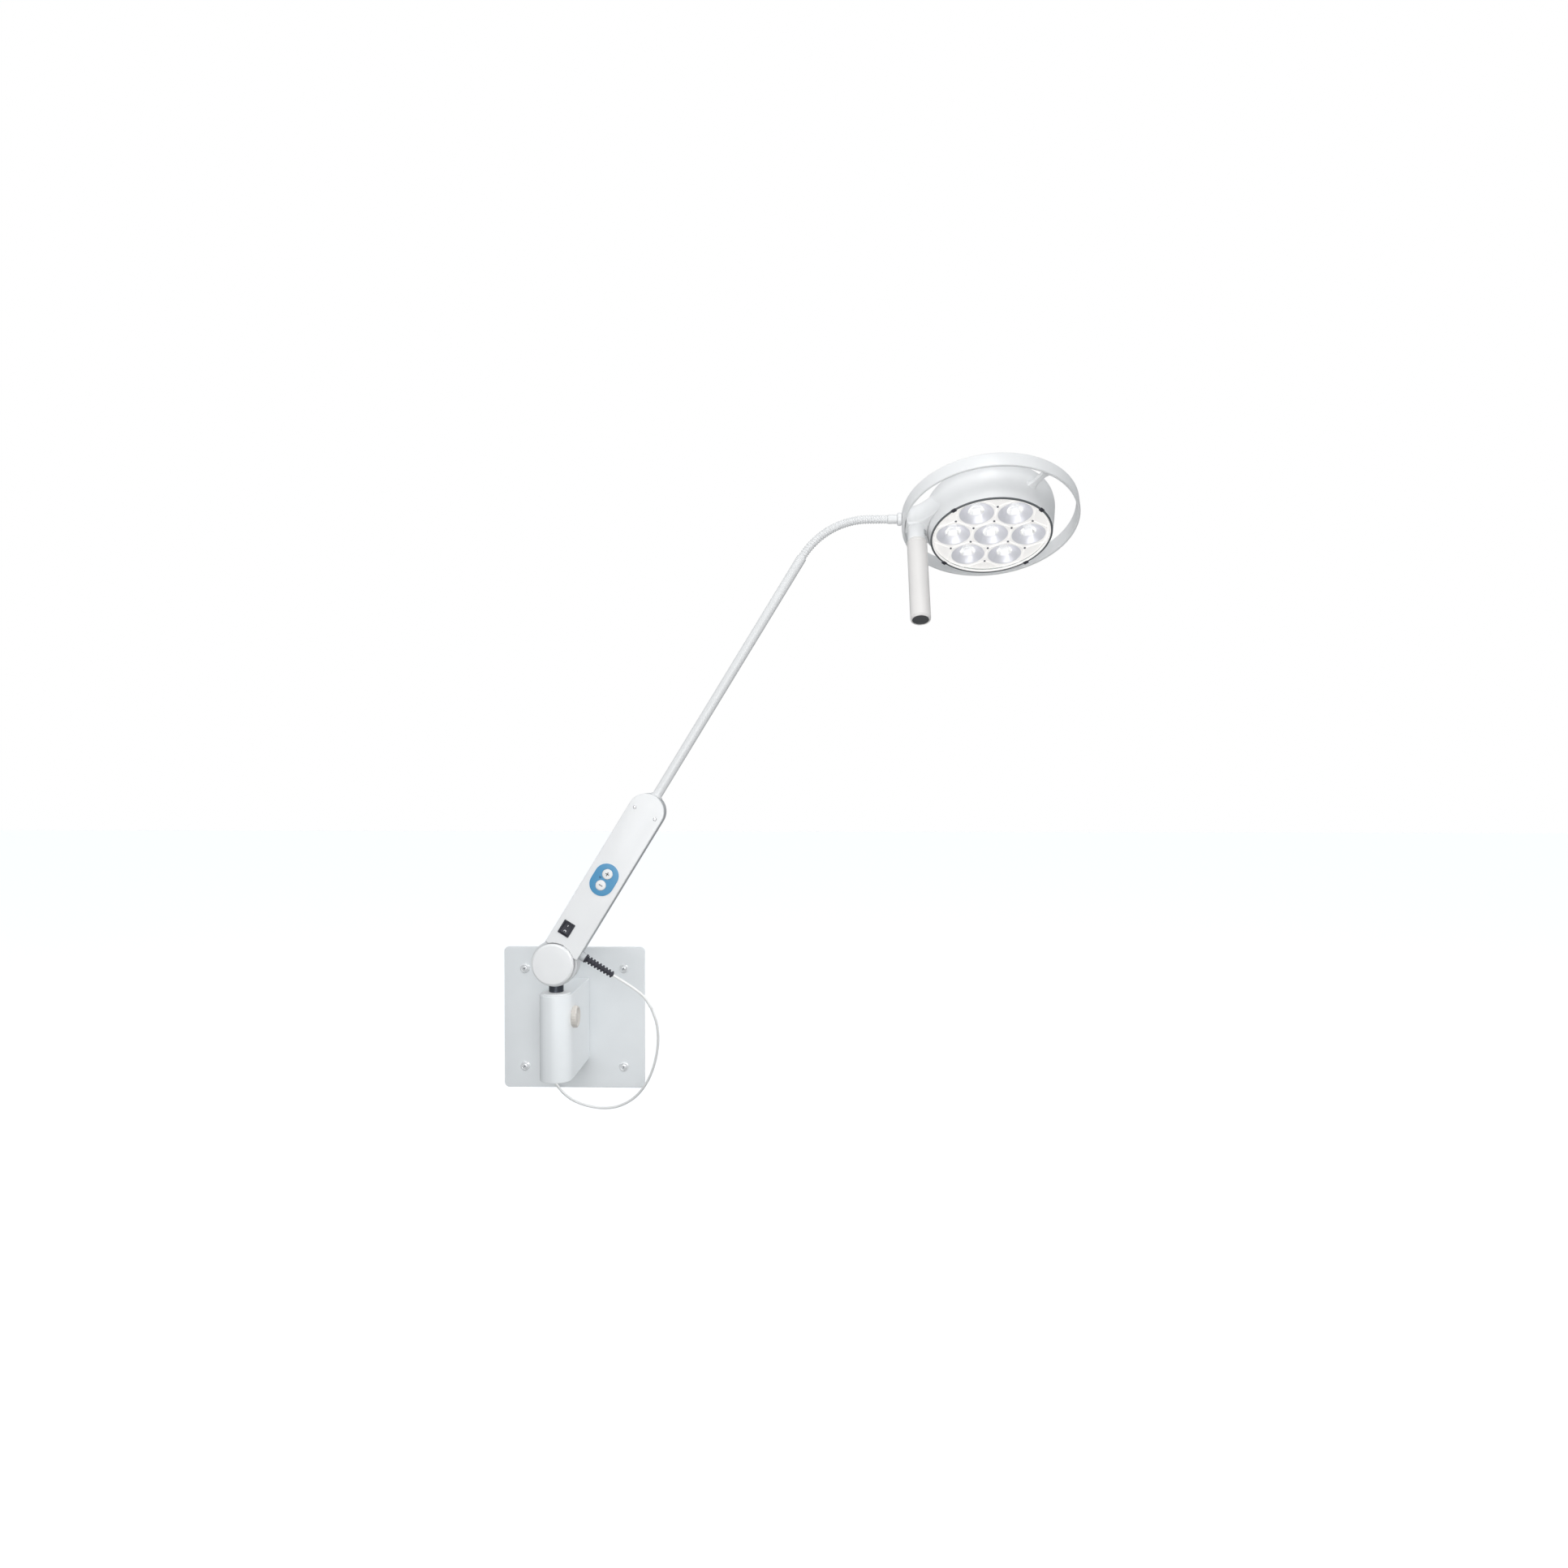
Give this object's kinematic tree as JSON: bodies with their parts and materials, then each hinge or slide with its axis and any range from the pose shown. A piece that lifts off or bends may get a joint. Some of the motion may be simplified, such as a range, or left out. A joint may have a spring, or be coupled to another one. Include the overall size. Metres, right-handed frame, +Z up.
{
  "type": "surgical light",
  "caption": "Wall-mounted LED surgical light: wall bracket, swivel, tilting arm with dimmer keypad, gooseneck, round multi-lens head with grip ring and pull-off handle.",
  "frame": {"origin": "centre of the wall plate's back face, which lies on the wall", "axes": "+Y into the wall, +X right along the wall, +Z up; the light's arm leans towards +X at rest"},
  "size_m": [0.9745, 0.2775, 1.07],
  "materials": {
    "grey_paint": "satin powder coat",
    "white_paint": "satin powder coat",
    "white_plastic": "satin moulded",
    "tray_plastic": "satin moulded",
    "steel": "brushed",
    "dark_steel": "blackened",
    "black_plastic": "matte moulded",
    "bush_plastic": "machined",
    "bronze": "satin",
    "board_green": "matte",
    "keypad_blue": "satin film",
    "clear_optic": "clear moulded",
    "cover_glass": "clear",
    "bezel_grey": "satin moulded",
    "aluminium": "satin",
    "handle_plastic": "satin moulded",
    "lead_white": "satin sheath"
  },
  "bodies": {
    "bracket": {"wall_plate": "grey_paint", "post_shell": "grey_paint", "bearing_tube": "steel", "upper_bush": "bush_plastic", "lower_bush": "bush_plastic", "wall_screw_1": "steel", "wall_screw_2": "steel", "wall_screw_3": "steel", "wall_screw_4": "steel", "lead_lower": "lead_white", "lead_hank": "lead_white", "hank_tie": "black_plastic", "lead_connector": "black_plastic"},
    "clamp": {"clamp_screw": "steel", "clamp_knob": "handle_plastic"},
    "swivel": {"swivel_pin": "dark_steel", "pin_circlip": "steel", "pivot_drum": "white_paint", "pivot_bolt": "steel", "disc_spring": "steel", "pivot_nut": "steel", "rear_cap": "white_plastic"},
    "arm": {"friction_washer": "bronze", "arm_hub": "steel", "pivot_cap": "white_plastic", "housing_rear": "tray_plastic", "housing_cover": "white_plastic", "cover_screw_1": "steel", "cover_screw_2": "steel", "tube_socket": "steel", "arm_tube": "white_paint", "driver_board": "board_green", "keypad_board": "board_green", "keypad_plate": "keypad_blue", "switch_body": "black_plastic", "strain_relief": "black_plastic", "lead_upper": "lead_white"},
    "rocker": {"switch_rocker": "black_plastic"},
    "plus": {"plus_button": "white_plastic"},
    "minus": {"minus_button": "white_plastic"},
    "flex_a": {"flex_1": "white_paint"},
    "flex_b": {"flex_2": "white_paint"},
    "flex_c": {"flex_3": "white_paint"},
    "flex_d": {"flex_4": "white_paint"},
    "neck": {"flex_end": "white_paint", "ferrule": "white_paint"},
    "head": {"neck_collar": "white_paint", "yoke_block": "white_paint", "grip_ring": "white_plastic", "strut_1": "white_plastic", "strut_2": "white_plastic", "dome_shell": "white_plastic", "heat_sink": "aluminium", "led_board": "board_green", "lens_array": "clear_optic", "lens_cover": "cover_glass", "lens_bezel": "bezel_grey", "handle_core": "white_plastic"},
    "handle": {"handle_sleeve": "handle_plastic", "handle_end_cap": "black_plastic"}
  },
  "joints": [
    {"name": "swivel", "type": "hinge", "parent": "bracket", "child": "swivel", "pos_m": [0, -0.136, 0.07], "axis": [0, 0, 1], "range_deg": [-175, 0], "deforming": ["lead_lower"]},
    {"name": "clamp_turn", "type": "hinge", "parent": "bracket", "child": "clamp", "pos_m": [0.03, -0.136, 0.032], "axis": [1, 0, 0], "range_deg": [-360, 0]},
    {"name": "arm_tilt", "type": "hinge", "parent": "swivel", "child": "arm", "pos_m": [0, -0.145, 0.122], "axis": [0, 1, 0], "range_deg": [-30, 45], "deforming": ["lead_upper"]},
    {"name": "switch_rock", "type": "hinge", "parent": "arm", "child": "rocker", "pos_m": [0.02354, -0.16, 0.18146], "axis": [0.8526, 0, -0.5225], "range_deg": [0, 16]},
    {"name": "plus_press", "type": "slide", "parent": "arm", "child": "plus", "axis": [0, 1, 0], "range_m": [0, 0.0008], "stiffness_N_per_m": 400, "springref_m": -0.001},
    {"name": "minus_press", "type": "slide", "parent": "arm", "child": "minus", "axis": [0, 1, 0], "range_m": [0, 0.0008], "stiffness_N_per_m": 400, "springref_m": -0.001},
    {"name": "gooseneck_bend_1", "type": "hinge", "parent": "arm", "child": "flex_a", "pos_m": [0.40652, -0.145, 0.78535], "axis": [0, 1, 0], "range_deg": [-15, 15]},
    {"name": "gooseneck_side_1", "type": "hinge", "parent": "flex_a", "child": "flex_b", "pos_m": [0.43134, -0.145, 0.81393], "axis": [0.6488, 0, -0.7609], "range_deg": [-1.5, 20]},
    {"name": "gooseneck_bend_2", "type": "hinge", "parent": "flex_b", "child": "flex_c", "pos_m": [0.46349, -0.145, 0.83393], "axis": [0, 1, 0], "range_deg": [-15, 15]},
    {"name": "gooseneck_side_2", "type": "hinge", "parent": "flex_c", "child": "flex_d", "pos_m": [0.5001, -0.145, 0.84356], "axis": [0.1074, 0, -0.9942], "range_deg": [-1.5, 20]},
    {"name": "gooseneck_bend_3", "type": "hinge", "parent": "flex_d", "child": "neck", "pos_m": [0.53607, -0.145, 0.84429], "axis": [0, 1, 0], "range_deg": [-15, 15]},
    {"name": "head_roll", "type": "hinge", "parent": "neck", "child": "head", "pos_m": [0.5665, -0.145, 0.84429], "axis": [-1, 0, 0], "range_deg": [-65, 65]},
    {"name": "handle_off", "type": "slide", "parent": "head", "child": "handle", "axis": [0, -0.4226, -0.9063], "range_m": [0, 0.15]}
  ],
  "couplings": [
    {"joint": "gooseneck_bend_2", "follows": "gooseneck_bend_1", "ratio": 1},
    {"joint": "gooseneck_bend_3", "follows": "gooseneck_bend_1", "ratio": 1},
    {"joint": "gooseneck_side_2", "follows": "gooseneck_side_1", "ratio": 1}
  ]
}
